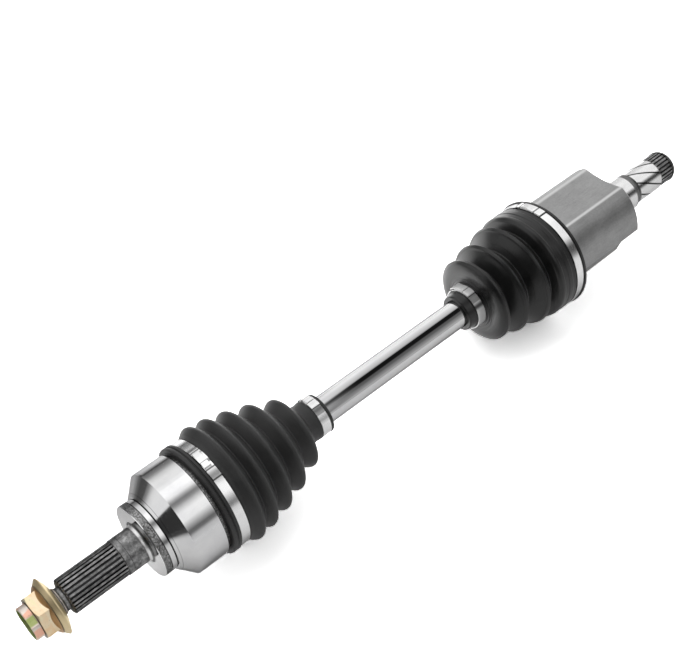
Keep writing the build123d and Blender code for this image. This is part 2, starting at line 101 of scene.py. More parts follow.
# ---- outlines ---------------------------------------------------------------------------------
def rounded(corners, steps=5):
    """Points along a polyline of (station, radius, fillet), each inner corner rounded to its fillet."""
    points = [corners[0][:2]]
    for before, corner, after in zip(corners, corners[1:], corners[2:]):
        here = Vector(corner[:2])
        back = Vector(before[:2]) - here
        ahead = Vector(after[:2]) - here
        reach = min(corner[2], 0.48 * back.length, 0.48 * ahead.length)
        start = here + back.normalized() * reach
        end = here + ahead.normalized() * reach
        for step in range(steps + 1):
            t = step / steps
            points.append(tuple(start * (1 - t) ** 2 + here * 2 * t * (1 - t) + end * t**2))
    points.append(corners[-1][:2])
    return points


def split(outline, stations):
    """Cuts an outline at the point nearest each of these stations; neighbours share that point."""
    pieces = []
    start = 0
    for station in stations:
        cut_at = min(range(len(outline)), key=lambda k: abs(outline[k][0] - station))
        pieces.append(outline[start : cut_at + 1])
        start = cut_at
    return pieces + [outline[start:]]


def ridged(points, ridges, height, half_width):
    """Adds small round ridges that stand out of an outline at these stations."""
    shaped = []
    for station, radius in points:
        lift = sum(math.exp(-(((station - ridge) / half_width) ** 2)) for ridge in ridges)
        shaped.append((station, radius + height * lift))
    return shaped


def dense(points, longest=0.35):
    """Splits long runs, so that small ridges have enough points."""
    out = [points[0]]
    for a, b in zip(points, points[1:]):
        pieces = max(1, math.ceil(math.dist(a, b) / longest))
        for k in range(1, pieces + 1):
            out.append((a[0] + (b[0] - a[0]) * k / pieces, a[1] + (b[1] - a[1]) * k / pieces))
    return out


# ---- meshes -----------------------------------------------------------------------------------
def make_object(name, vertices, faces, sharp_angle):
    mesh = bpy.data.meshes.new(name)
    mesh.from_pydata(vertices, [], faces)
    mesh.validate()
    mesh.polygons.foreach_set("use_smooth", [True] * len(mesh.polygons))
    mesh.set_sharp_from_angle(angle=math.radians(sharp_angle))
    obj = bpy.data.objects.new(name, mesh)
    bpy.context.collection.objects.link(obj)
    return obj


def lathe(name, outline, sharp_angle):
    """Turns a closed outline of (station, radius) points about the axle line."""
    vertices = []
    for station, radius in outline:
        for step in range(AROUND):
            vertices.append(on_circle(station, radius, 2 * math.pi * step / AROUND))
    faces = []
    count = len(outline)
    for ring in range(count):
        here, there = ring * AROUND, (ring + 1) % count * AROUND
        for step in range(AROUND):
            beside = (step + 1) % AROUND
            faces.append((here + step, there + step, there + beside, here + beside))
    return make_object(name, vertices, faces, sharp_angle)


def skin(outer, snug=None):
    """Closes an outer outline with an inner one a wall's thickness below it.
    Between the first two numbers of snug, the inner outline is a plain bore of the third."""
    inner = []
    for station, radius in outer[::-2] + [outer[0]] * (len(outer) % 2 == 0):
        fitted = snug and snug[0] <= station <= snug[1]
        inner.append((station, snug[2] if fitted else radius - BOOT_WALL))
    return outer + inner


def lobed_ring(name, outline):
    """A ring with a turned outside and a bore that is round but for the troughs."""
    around = 240
    centre = RING_TROUGH_FLOOR + RING_TROUGH_RADIUS

    def bore(angle):
        lean = min(abs(math.remainder(angle - math.radians(a), 2 * math.pi)) for a in TROUGH_ANGLES)
        aside = centre * math.sin(lean)
        if aside >= RING_TROUGH_RADIUS:
            return RING_BORE
        return min(RING_BORE, centre * math.cos(lean) - math.sqrt(RING_TROUGH_RADIUS**2 - aside**2))

    count = len(outline) + 2
    vertices = []
    for step in range(around):
        angle = 2 * math.pi * step / around
        corners = outline + [(outline[-1][0], bore(angle)), (outline[0][0], bore(angle))]
        vertices += [on_circle(station, radius, angle) for station, radius in corners]
    faces = []
    for step in range(around):
        here, there = step * count, (step + 1) % around * count
        for corner in range(count):
            beside = (corner + 1) % count
            faces.append((here + corner, here + beside, there + beside, there + corner))
    return make_object(name, vertices, faces, sharp_angle=40)


def strap(name, sections):
    """Lofts a metal strap round the axle line through sections of
    (angle, inner radius, thickness, first station, last station, edge chamfer)."""
    vertices = []
    for angle, inner, thickness, first, last, edge in sections:
        outer = inner + thickness
        corners = [
            (first, inner + edge),
            (first, outer - edge),
            (first + edge, outer),
            (last - edge, outer),
            (last, outer - edge),
            (last, inner + edge),
            (last - edge, inner),
            (first + edge, inner),
        ]
        vertices += [on_circle(station, radius, math.radians(angle)) for station, radius in corners]
    count = len(corners)
    faces = []
    for number in range(len(sections) - 1):
        here, there = number * count, (number + 1) * count
        for corner in range(count):
            beside = (corner + 1) % count
            faces.append((here + corner, there + corner, there + beside, here + beside))
    faces.append(tuple(range(count)))
    faces.append(tuple(reversed(range(len(vertices) - count, len(vertices)))))
    return make_object(name, vertices, faces, sharp_angle=30)


def smoothstep(low, high, value):
    t = min(1.0, max(0.0, (value - low) / (high - low)))
    return t * t * (3 - 2 * t)


# ---- material helpers -------------------------------------------------------------------------
class Shader:
    """A principled material being wired up. Its x, y and z are the frame's own, in metres."""

    def __init__(self, name, metallic, **uniform):
        self.material = bpy.data.materials.new(name)
        self.material.use_nodes = True
        self.tree = self.material.node_tree
        self.bsdf = self.tree.nodes["Principled BSDF"]
        self.bsdf.inputs["Metallic"].default_value = metallic
        for socket, value in uniform.items():
            self.bsdf.inputs[socket.replace("_", " ")].default_value = value
        self.place = self.add("ShaderNodeTexCoord").outputs["Object"]
        split = self.add("ShaderNodeSeparateXYZ")
        self.link(self.place, split.inputs[0])
        self.x, self.y, self.z = split.outputs

    def add(self, kind, **settings):
        node = self.tree.nodes.new(kind)
        for key, value in settings.items():
            setattr(node, key, value)
        return node

    def link(self, output, socket):
        self.tree.links.new(output, socket)

    def put(self, value, socket):
        """A link if value is a node's output, a plain value if not."""
        if isinstance(value, bpy.types.NodeSocket):
            self.link(value, socket)
        else:
            socket.default_value = value

    def math(self, operation, a, b=0.0):
        node = self.add("ShaderNodeMath", operation=operation)
        for value, socket in zip((a, b), node.inputs):
            self.put(value, socket)
        return node.outputs[0]

    def stretched(self, x, y, z):
        node = self.add("ShaderNodeMapping")
        self.link(self.place, node.inputs["Vector"])
        node.inputs["Scale"].default_value = (x, y, z)
        return node.outputs[0]

    def turn(self):
        """Angle round the axle line, from +Y towards +Z."""
        return self.math("ARCTAN2", self.z, self.y)

    def radius(self):
        """Distance from the axle line."""
        squares = [self.math("MULTIPLY", side, side) for side in (self.y, self.z)]
        return self.math("SQRT", self.math("ADD", *squares))

    def around_axis(self, x_scale, turn_scale):
        """Coordinates unrolled from the cylinder: along the axle, and the angle round it."""
        node = self.add("ShaderNodeCombineXYZ")
        self.link(self.math("MULTIPLY", self.x, x_scale), node.inputs[0])
        self.link(self.math("MULTIPLY", self.turn(), turn_scale), node.inputs[1])
        return node.outputs[0]

    def noise(self, scale, detail=3.0, roughness=0.5, place=None, distortion=0.0):
        node = self.add("ShaderNodeTexNoise")
        self.link(place or self.place, node.inputs["Vector"])
        node.inputs["Scale"].default_value = scale
        node.inputs["Detail"].default_value = detail
        node.inputs["Roughness"].default_value = roughness
        node.inputs["Distortion"].default_value = distortion
        return node.outputs[0]

    def spread(self, value, low, high, to_low, to_high, smooth=False):
        """A value from low to high mapped to the range from to_low to to_high, and held beyond it."""
        node = self.add("ShaderNodeMapRange")
        node.interpolation_type = "SMOOTHSTEP" if smooth else "LINEAR"
        for number, setting in enumerate((value, low, high, to_low, to_high)):
            self.put(setting, node.inputs[number])
        return node.outputs[0]

    def mix(self, factor, first, second, mode="MIX"):
        node = self.add("ShaderNodeMix", data_type="RGBA", blend_type=mode)
        self.put(factor, node.inputs[0])
        for value, socket in ((first, node.inputs[6]), (second, node.inputs[7])):
            self.put(value if isinstance(value, bpy.types.NodeSocket) else (*value, 1.0), socket)
        return node.outputs[2]

    def ramp(self, value, stops):
        node = self.add("ShaderNodeValToRGB")
        elements = node.color_ramp.elements
        while len(elements) < len(stops):
            elements.new(0.5)
        for element, (position, colour) in zip(elements, stops):
            element.position = position
            element.color = (*colour, 1.0)
        self.link(value, node.inputs[0])
        return node.outputs[0]

    def near(self, value, middle, half_width, soft):
        """1 where a value is within half_width of middle, 0 further off."""
        off = self.math("ABSOLUTE", self.math("SUBTRACT", value, middle))
        return self.spread(off, half_width - soft, half_width + soft, 1.0, 0.0, True)

    def within(self, full, none):
        """1 up to a radius of full, 0 from a radius of none, both in mm."""
        return self.spread(self.radius(), full * MM, none * MM, 1.0, 0.0)

    def beyond(self, none, full):
        """0 up to a radius of none, 1 from a radius of full, both in mm."""
        return self.spread(self.radius(), none * MM, full * MM, 0.0, 1.0)

    def band(self, first, last, soft=0.15):
        """1 between two stations, 0 outside them, with edges this soft."""
        start = self.spread(self.x, along(first - soft), along(first + soft), 0.0, 1.0, True)
        end = self.spread(self.x, along(last - soft), along(last + soft), 1.0, 0.0, True)
        return self.math("MULTIPLY", start, end)

    def fade(self, factor, first, second):
        """Plain numbers mixed: first where factor is 0, second where it is 1."""
        return self.math("ADD", first, self.math("MULTIPLY", factor, self.math("SUBTRACT", second, first)))

    def weighted(self, *parts):
        """Sum of (value, weight) pairs."""
        total = self.math("MULTIPLY", *parts[0])
        for value, weight in parts[1:]:
            total = self.math("ADD", total, self.math("MULTIPLY", value, weight))
        return total

    def bump(self, height, strength, distance_mm):
        """Relief on top of any that is already there."""
        node = self.add("ShaderNodeBump")
        node.inputs["Strength"].default_value = strength
        node.inputs["Distance"].default_value = distance_mm * MM
        self.link(height, node.inputs["Height"])
        previous = self.bsdf.inputs["Normal"]
        if previous.is_linked:
            self.link(previous.links[0].from_socket, node.inputs["Normal"])
        self.link(node.outputs[0], previous)

    def colour(self, value):
        self.link(value, self.bsdf.inputs["Base Color"])

    def rough(self, value):
        self.link(value, self.bsdf.inputs["Roughness"])


def grey(level):
    return (level, level, level)


# ---- materials --------------------------------------------------------------------------------
def polished_bar():
    s = Shader("polished_bar", 1.0)
    s.bsdf.inputs["Specular Tint"].default_value = (0.02, 0.02, 0.02, 1.0)
    grind = s.noise(1.0, 2.0, 0.6, s.stretched(2500, 60, 60))
    cloud = s.noise(22.0, 3.0)
    s.colour(s.mix(s.spread(cloud, 0.3, 0.7, 0.0, 1.0), (0.66, 0.66, 0.67), (0.72, 0.72, 0.72)))
    s.rough(s.spread(grind, 0.35, 0.65, 0.02, 0.04))
    s.bump(grind, 0.02, 0.004)
    return s.material


def dark_forging(s):
    """Mottled grey phosphate over turned steel, as a colour and a roughness."""
    patches = s.noise(260.0, 6.0, 0.7)
    grain = s.noise(1500.0, 3.0, 0.6)
    level = s.weighted((patches, 0.7), (grain, 0.3))
    return s.ramp(level, [(0.34, grey(0.09)), (0.50, grey(0.24)), (0.62, grey(0.50))]), level


def bell_steel():
    """Bright turned bell; dark forging on the stub, the shoulder's rim and the mouth."""
    s = Shader("bell_steel", 1.0)
    s.bsdf.inputs["Specular Tint"].default_value = (0.3, 0.3, 0.3, 1.0)
    turned = s.noise(1.0, 3.0, 0.7, s.stretched(5200, 12, 12))
    cloud = s.noise(35.0, 4.0, 0.6)
    bright = s.mix(s.spread(cloud, 0.35, 0.65, 0.0, 1.0), (0.66, 0.66, 0.67), (0.75, 0.75, 0.75))
    forging, mottle = dark_forging(s)
    before_shoulder = s.spread(s.x, along(0.15), along(0.35), 1.0, 0.0)
    stub = s.math("MULTIPLY", before_shoulder, s.within(17.3, 17.6))
    # Painted highlight: the shoulder's face is painted a brighter grey than the rest of the bell.
    painted_face_highlight = s.math("MULTIPLY", s.band(-0.2, 0.5, 0.1), s.beyond(17.5, 17.8))
    rim = s.math("MULTIPLY", s.band(0.5, 5.6), s.beyond(28.6, 29.0))
    # Painted shade: the two grooves past the rim are painted near black.
    groove_shade = s.math("ADD", s.band(5.6, 6.1), s.band(10.15, 10.6))
    scribed = s.math("MULTIPLY", s.band(12.6, 12.85, 0.1), 0.6)
    mouth = s.spread(s.x, along(46.3), along(46.9), 0.0, 1.0)
    dull = s.math("MAXIMUM", rim, mouth)
    rim_noise = s.noise(900.0, 4.0, 0.7)
    rim_colour = s.ramp(rim_noise, [(0.36, grey(0.08)), (0.50, grey(0.20)), (0.62, grey(0.55))])
    colour = s.mix(dull, bright, rim_colour)
    colour = s.mix(s.math("MAXIMUM", s.math("MULTIPLY", groove_shade, 0.93), scribed), colour, grey(0.02))
    # Painted highlight: the fillet under the shoulder is painted a pale grey.
    fillet = s.band(-3.0, -0.9, 0.3)
    # Painted shade: the spline is painted near black towards the roots of its teeth.
    spline_root_shade = s.math("MULTIPLY", s.band(-65.0, -20.4), s.within(13.3, 14.0))
    # Painted highlight: the thread's crests are painted pale.
    thread_crest_highlight = s.math("MULTIPLY", s.band(-93.5, -69.0), s.beyond(9.95, 10.35))
    ring_marks = s.math("MAXIMUM", s.band(-15.2, -14.8), s.band(-19.9, -19.5))
    forging = s.mix(s.math("MULTIPLY", spline_root_shade, 0.92), forging, grey(0.02))
    forging = s.mix(thread_crest_highlight, forging, (0.75, 0.70, 0.66))
    forging = s.mix(s.math("MULTIPLY", ring_marks, 0.8), forging, grey(0.04))
    forging = s.mix(s.math("MULTIPLY", fillet, 0.9), forging, grey(0.95))
    colour = s.mix(stub, colour, forging)
    s.colour(s.mix(painted_face_highlight, colour, grey(0.93)))
    smooth_finish = s.spread(turned, 0.3, 0.7, 0.07, 0.12)
    dull_finish = s.spread(mottle, 0.3, 0.7, 0.30, 0.46)
    rough_mask = s.math("MAXIMUM", stub, dull)
    s.rough(s.fade(rough_mask, smooth_finish, dull_finish))
    s.bump(turned, 0.10, 0.012)
    s.bump(s.math("MULTIPLY", mottle, rough_mask), 0.35, 0.10)
    return s.material


def yellow_zinc():
    """Yellow plating of the nut, iridescent on the crown and green in its slots."""
    s = Shader("yellow_zinc", 0.65)
    tint = s.ramp(
        s.noise(70.0, 3.0, 0.55, distortion=0.8),
        [
            (0.32, (0.92, 0.82, 0.52)),
            (0.46, (0.96, 0.80, 0.56)),
            (0.58, (0.96, 0.72, 0.44)),
            (0.70, (0.88, 0.64, 0.36)),
        ],
    )
    crown = s.band(-98.0, -90.15, 0.1)
    iris = s.ramp(
        s.noise(1.0, 2.0, 0.5, s.around_axis(30.0, 1.1), distortion=0.6),
        [(0.36, (0.95, 0.78, 0.66)), (0.50, (0.97, 0.88, 0.80)), (0.60, (0.97, 0.55, 0.40))],
    )
    colour = s.mix(crown, tint, iris)
    slot_floor = s.math("MULTIPLY", crown, s.within(12.3, 12.6))
    green = s.mix(s.noise(160.0), (0.36, 0.46, 0.10), (0.62, 0.66, 0.34))
    colour = s.mix(slot_floor, colour, green)
    # Painted highlight: a paler cream band is painted round the nut's foot.
    foot_highlight = s.math("MULTIPLY", s.band(-84.0, -77.0, 0.2), 0.35)
    colour = s.mix(foot_highlight, colour, (1.0, 0.90, 0.68))
    # Painted shade: a brown line is painted along a cone-shaped line between the hex and the foot.
    cone_slope = 1.25
    cone = s.math("MULTIPLY", s.math("SUBTRACT", s.x, along(-83.4)), cone_slope)
    above_cone = s.math("SUBTRACT", s.radius(), cone)
    cone_groove_shade = s.math("MULTIPLY", s.band(-84.0, -79.3, 0.2), s.near(above_cone, 14.6 * MM, 0.35 * MM, 0.1 * MM))
    colour = s.mix(s.math("MULTIPLY", cone_groove_shade, 0.9), colour, (0.42, 0.22, 0.07))
    # Painted shade: dark lines are painted round the nut where the crown meets the hex and at the back of the
    # hex.
    junction_shade = s.math("MAXIMUM", s.band(-90.5, -89.9, 0.12), s.band(-79.4, -78.6, 0.1))
    s.colour(s.mix(s.math("MULTIPLY", junction_shade, 0.85), colour, (0.07, 0.04, 0.015)))
    grain = s.noise(900.0, 4.0, 0.6)
    s.rough(s.spread(grain, 0.3, 0.7, 0.27, 0.33))
    s.bump(grain, 0.03, 0.02)
    s.bump(s.noise(160.0, 3.0), 0.07, 0.12)
    return s.material


def housing_steel():
    """Satin lobed housing with painted highlights on its trough edges and back rim, ground stub with crossing
    helical lines, dark spline.
    """
    s = Shader("housing_steel", 1.0)
    s.bsdf.inputs["Specular Tint"].default_value = (0.5, 0.5, 0.5, 1.0)
    grain = s.noise(650.0, 5.0, 0.65)
    drawn = s.noise(1.0, 4.0, 0.6, s.stretched(70, 900, 900))
    patches = s.noise(45.0, 4.0, 0.6)
    level = s.weighted((grain, 0.35), (drawn, 0.25), (patches, 0.4))
    satin = s.ramp(level, [(0.36, grey(0.27)), (0.52, grey(0.36)), (0.66, grey(0.44))])
    ground = s.mix(s.noise(300.0), grey(0.74), grey(0.84))
    neck = s.band(541.0, 548.6, 0.2)
    land = s.band(548.4, 577.6, 0.2)
    step = s.band(512.5, 541.0, 0.3)
    spline = s.spread(s.x, along(577.5), along(578.2), 0.0, 1.0)
    turn = s.turn()
    line_count = 8
    twist = 0.56 / (15.0 * MM)
    lead = s.math("SUBTRACT", turn, s.math("MULTIPLY", s.x, twist))
    wave = s.math("FRACT", s.math("MULTIPLY", lead, line_count / (2 * math.pi)))
    line = s.math("ABSOLUTE", s.math("SUBTRACT", wave, 0.5))
    scratch = s.math("MULTIPLY", land, s.spread(line, 0.045, 0.10, 1.0, 0.0, True))
    forging, mottle = dark_forging(s)
    bright = s.math("MAXIMUM", land, step)
    # Painted highlights: the troughs' edges and the back rim are painted a light grey.
    past_trough = s.math("SUBTRACT", turn, math.radians(TROUGH_ANGLES[0]))
    from_trough = s.math("PINGPONG", past_trough, math.radians(60))
    edge = s.math("MULTIPLY", s.near(from_trough, math.radians(28.6), 0.03, 0.025), s.band(430.0, 511.5))
    back_rim_highlight = s.band(509.4, 511.2, 0.2)
    satin = s.mix(s.math("MULTIPLY", s.math("MAXIMUM", edge, back_rim_highlight), 0.7), satin, grey(0.80))
    colour = s.mix(bright, satin, ground)
    brushing = s.noise(1.0, 3.0, 0.6, s.stretched(3000, 60, 60))
    colour = s.mix(neck, colour, s.ramp(brushing, [(0.35, grey(0.12)), (0.65, grey(0.30))]))
    # Painted shade: the spline is painted near black towards the roots of its teeth.
    root_shade = s.spread(s.radius(), 13.8 * MM, 14.3 * MM, 0.92, 0.0)
    colour = s.mix(spline, colour, s.mix(root_shade, forging, grey(0.02)))
    s.colour(s.mix(scratch, colour, grey(0.05)))
    satin_finish = s.spread(level, 0.35, 0.65, 0.34, 0.44)
    ground_finish = s.spread(grain, 0.3, 0.7, 0.14, 0.22)
    s.rough(s.fade(bright, satin_finish, ground_finish))
    s.bump(grain, 0.16, 0.03)
    s.bump(s.math("MULTIPLY", mottle, spline), 0.3, 0.08)
    return s.material


def boot_rubber(name, low, high, matt, gloss, sheen_scale):
    """Moulded rubber between two greys, with patches from gloss to matt roughness."""
    s = Shader(name, 0.0)
    s.bsdf.inputs["Specular IOR Level"].default_value = 0.5
    bloom = s.noise(sheen_scale, 4.0, 0.6)
    grain = s.noise(1400.0, 3.0, 0.6)
    flow = s.noise(1.0, 3.0, 0.6, s.around_axis(240.0, 2.2))
    mixed = s.weighted((bloom, 0.6), (flow, 0.4))
    s.colour(s.mix(s.spread(mixed, 0.35, 0.65, 0.0, 1.0), grey(low), grey(high)))
    s.rough(s.spread(mixed, 0.3, 0.7, gloss, matt))
    s.bump(grain, 0.22, 0.03)
    s.bump(flow, 0.12, 0.15)
    return s.material


def clamp_stainless(name, metallic, seams, lap_shade=1.0):
    """Rolled stainless with painted shadows in the gaps at these angles; the last argument sets a painted
    shade on the lapped stretch.
    A band that mirrors little also gets a painted dark patch: the painted reflection of the dark patch that
    the bright ones mirror."""
    s = Shader(name, metallic)
    s.bsdf.inputs["Specular Tint"].default_value = (0.4, 0.4, 0.4, 1.0)
    rolled = s.noise(1.0, 3.0, 0.6, s.around_axis(4200.0, 6.0))
    cloud = s.noise(70.0, 3.0)
    steel = s.mix(s.spread(cloud, 0.35, 0.65, 0.0, 1.0), grey(0.84), grey(0.96))
    turn = s.turn()
    lapped = s.near(turn, math.radians(111), math.radians(12), math.radians(1.5))
    corner = s.near(turn, math.radians(134), math.radians(6), math.radians(5))
    # Painted shade: the lapped stretch is multiplied by a darker grey.
    steel = s.mix(lapped, steel, s.mix(1.0, steel, grey(lap_shade), "MULTIPLY"))
    # Painted reflection: a band that mirrors little gets a dark patch painted where the bright bands mirror
    # one.
    if metallic < 0.5:
        steel = s.mix(s.math("MULTIPLY", corner, 0.9), steel, grey(0.05))
    # Painted shadow: a dark line is painted in the gap at each seam angle.
    for angle in seams:
        gap_shadow = s.near(turn, math.radians(angle), math.radians(0.7), math.radians(0.5))
        steel = s.mix(s.math("MULTIPLY", gap_shadow, 0.85), steel, grey(0.03))
    s.colour(steel)
    s.rough(s.spread(rolled, 0.3, 0.7, 0.12, 0.20))
    s.bump(rolled, 0.12, 0.015)
    return s.material


def ground_steel(name, low, high, smooth, coarse):
    """Ground steel between two greys, for the parts inside the joints."""
    s = Shader(name, 1.0)
    cloud = s.noise(90.0, 4.0, 0.6)
    grind = s.noise(1.0, 3.0, 0.6, s.stretched(2600, 200, 200))
    s.colour(s.mix(s.spread(cloud, 0.35, 0.65, 0.0, 1.0), grey(low), grey(high)))
    s.rough(s.spread(grind, 0.3, 0.7, smooth, coarse))
    s.bump(grind, 0.1, 0.01)
    return s.material


def floor_material():
    """Pale matt floor that photographs white with soft shadows. Reflections see it as bright paper with a
    painted glow, falling off to painted shade beyond the wheel end and far behind the axle."""
    s = Shader("studio_floor", 0.0, Roughness=1.0, Specular_IOR_Level=0.0)
    path = s.add("ShaderNodeLightPath")
    wheel_end = s.spread(s.x, -1.0, -0.5, 0.06, 0.75, True)
    slant = s.math("SUBTRACT", s.x, s.math("MULTIPLY", s.y, 0.6))
    far_side = s.ramp(
        s.spread(slant, -0.60, -0.26, 0.0, 1.0),
        [
            (0.0, grey(0.04)),
            (0.40, grey(0.09)),
            (0.62, grey(0.22)),
            (0.78, grey(0.42)),
            (0.86, grey(0.58)),
            (1.0, grey(1.0)),
        ],
    )
    behind = s.spread(s.y, -0.05, 0.02, 0.0, 1.0, True)
    lit = s.fade(behind, wheel_end, s.math("MULTIPLY", far_side, 2.2))
    grain = s.spread(s.noise(6.0), 0.3, 0.7, 0.96, 1.0)
    reflected = s.math("MULTIPLY", lit, grain)
    seen = s.math("MULTIPLY", grain, 3.0)
    camera_ray = path.outputs["Is Camera Ray"]
    s.colour(s.fade(camera_ray, reflected, seen))
    glow = s.math("MULTIPLY", s.math("SUBTRACT", 1.0, camera_ray), s.math("MULTIPLY", lit, 0.30))
    s.bsdf.inputs["Emission Color"].default_value = (1.0, 1.0, 1.0, 1.0)
    s.link(glow, s.bsdf.inputs["Emission Strength"])
    return s.material


def paint(obj, material):
    obj.data.materials.clear()
    obj.data.materials.append(material)


# ---- boots ------------------------------------------------------------------------------------
def bellows(first, crests, valleys, last, crest_reach, valley_reach, crest_lift):
    """Rounded outline of folds between two sets of end corners, each (station, radius, fillet)."""
    folds = []
    for number, (station, radius) in enumerate(crests):
        folds.append((station, radius + crest_lift, crest_reach))
        if number < len(valleys):
            folds.append((*valleys[number], valley_reach))
    return rounded(first + folds + last, 8)


def outboard_boot(rubber):
    """Five-fold matt boot, in three pieces."""
    cuff = [
        (49.8, 44.0, 0),
        (49.9, 45.9, 0.7),
        (51.3, 46.4, 0.7),
        (52.6, 46.3, 0.3),
        (53.1, 45.4, 0.3),
        (53.8, 45.4, 0.3),
        (54.3, 46.3, 0.3),
        (56.3, 46.4, 0.5),
        (56.6, 44.45, 0.2),
        (64.8, 44.45, 0.2),
        (65.2, 45.4, 0.5),
        (68.0, 46.2, 1.2),
    ]
    neck = [
        (149.2, 19.0, 1.6),
        (151.6, 16.9, 1.6),
        (156.0, 16.5, 2.0),
        (160.6, 17.0, 0.5),
        (160.9, 15.7, 0.2),
        (169.5, 15.7, 0.2),
        (169.8, 17.0, 0.5),
        (172.0, 17.0, 0.9),
        (172.7, 15.6, 0.5),
        (172.7, 14.4, 0),
    ]
    outline = bellows(
        cuff, OUTBOARD_CRESTS, OUTBOARD_VALLEYS, neck, crest_reach=4.6, valley_reach=1.3, crest_lift=1.5
    )
    # The first and the last seam lie close to the bell, so that the bar stays inside the folds.
    seams = [OUTBOARD_VALLEYS[0][0], OUTBOARD_VALLEYS[2][0]]
    first, middle, last = split(outline, seams)
    make_boot(
        [
            ("outboard_boot_bell_end", first, (49.0, 71.0, 40.8), "bell", "outboard_bellows", 66.0, seams[0]),
            ("outboard_boot_middle", middle, None, "outboard_bellows", "upright_balls", *seams),
            ("outboard_boot_bar_end", last, (150.5, 174.0, 12.3), "upright_balls", "shaft", seams[1], 134.0),
        ],
        rubber,
        "outboard_boot",
    )


def inboard_boot(rubber):
    """Three-fold glossier boot, in three pieces."""
    neck = [
        (324.0, 14.0, 0),
        (324.0, 15.6, 0.6),
        (325.0, 16.2, 0.8),
        (330.9, 16.9, 0.5),
        (331.3, 17.75, 0.2),
        (339.8, 17.75, 0.2),
        (340.0, 19.4, 0.4),
        (341.0, 20.2, 0.4),
        (340.9, 21.4, 0.4),
        (341.8, 22.2, 0.4),
        (341.6, 23.4, 0.4),
        (342.3, 24.2, 0.4),
        (341.9, 26.0, 0.8),
        (342.2, 31.5, 3.0),
        (344.4, 36.6, 2.4),
    ]
    cuff = [
        (400.0, 47.2, 1.6),
        (402.4, 49.1, 1.2),
        (405.0, 49.2, 0.5),
        (405.6, 48.7, 0.4),
        (409.8, 48.8, 0.4),
        (410.4, 49.2, 0.4),
        (414.4, 49.3, 0.4),
        (415.0, 48.9, 0.4),
        (418.6, 49.0, 0.5),
        (419.2, 48.5, 0.2),
        (427.5, 48.5, 0.2),
        (427.7, 50.6, 0.5),
        (430.4, 50.4, 0.8),
        (430.8, 48.6, 0),
    ]
    outline = bellows(
        neck, INBOARD_CRESTS, INBOARD_VALLEYS, cuff, crest_reach=2.6, valley_reach=1.6, crest_lift=0.7
    )
    # Each fold carries two fine moulding ridges near its crest.
    ridges = [crest + offset for crest, _ in INBOARD_CRESTS for offset in (-1.6, 0.9)]
    # The seams lie just past the middle fold and its valley, so that the bar stays inside the folds.
    seams = [INBOARD_CRESTS[1][0] + 2.8, INBOARD_VALLEYS[1][0] + 3.6]
    bellows_body = "inboard_bellows"
    outline = ridged(dense(outline), ridges, height=0.5, half_width=0.42)
    first, middle, last = split(outline, seams)
    make_boot(
        [
            ("inboard_boot_bar_end", first, (323.0, 341.8, 12.3), "shaft", "needles_c", 347.0, seams[0]),
            ("inboard_boot_middle", middle, None, "needles_c", bellows_body, *seams),
            ("inboard_boot_housing_end", last, (401.0, 430.0, 46.1), bellows_body, "tulip", seams[1], 403.0),
        ],
        rubber,
        "inboard_boot",
    )


def make_boot(pieces, rubber, node):
    """Turns each (name, outline, snug bore, first body, second body, blend start, blend end); the bodies and
    the blend stations are not used.
    """
    for name, outline, snug, body_a, body_b, start, end in pieces:
        piece = lathe(name, skin(outline, snug), sharp_angle=60)
        paint(piece, rubber)
        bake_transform(piece)
        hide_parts(node)


# ---- clamps -----------------------------------------------------------------------------------
def clamp(name, body, steel, start, width, inner, thickness, tail, lap, tongue):
    """A band that goes once round and laps over itself between the angles tail and lap.
    tongue is (first angle, last angle, lift), a raised pinched stretch of the outer layer, or None."""
    step = 2.0
    ramp = 5.0
    lap_gap = 0.03
    edge = 0.14
    soft = 1.5
    total = 360.0 + (lap - tail)
    sections = []
    for number in range(int(total / step) + 2):
        travelled = min(total, number * step)
        angle = tail + travelled
        lifted = smoothstep(360.0 - ramp, 360.0, travelled)
        inner_here = inner + lifted * (thickness + lap_gap)
        if tongue and travelled > 300:
            first, last, lift = tongue
            wrapped = angle - 360.0
            rising = smoothstep(first - soft, first + soft, wrapped)
            falling = smoothstep(last + soft, last - soft, wrapped)
            inner_here += rising * falling * lift
        sections.append((angle, inner_here, thickness, start, start + width, edge))
    band = strap(name, sections)
    paint(band, steel)
    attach(band, body)
    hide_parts(name)


def lock(name, body, steel, start, width, inner, thickness, first_angle, last_angle):
    """A short plate pressed down over a clamp's lapped ends, stepped where it hooks them."""
    count = 14
    edge = 0.15
    sections = []
    for number in range(count + 1):
        t = number / count
        angle = first_angle + (last_angle - first_angle) * t
        step_down = 0.35 * smoothstep(0.55, 0.62, t)
        nose = 0.45 * smoothstep(0.10, 0.0, t) + 0.45 * smoothstep(0.92, 1.0, t)
        taper = 0.6 * nose
        floor = inner - step_down - nose
        sections.append((angle, floor, thickness, start + taper, start + width - taper, edge))
    plate = strap(name, sections)
    paint(plate, steel)
    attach(plate, body)


# ---- stage ------------------------------------------------------------------------------------
def stage_floor():
    """A large disc under the lowest point of the axle."""
    corners = 64
    reach = 4.0
    angles = [2 * math.pi * corner / corners for corner in range(corners)]
    vertices = [(reach * math.cos(angle), reach * math.sin(angle), FLOOR_Z) for angle in angles]
    floor = make_object("studio_floor", vertices, [tuple(range(corners))], sharp_angle=50)
    paint(floor, floor_material())


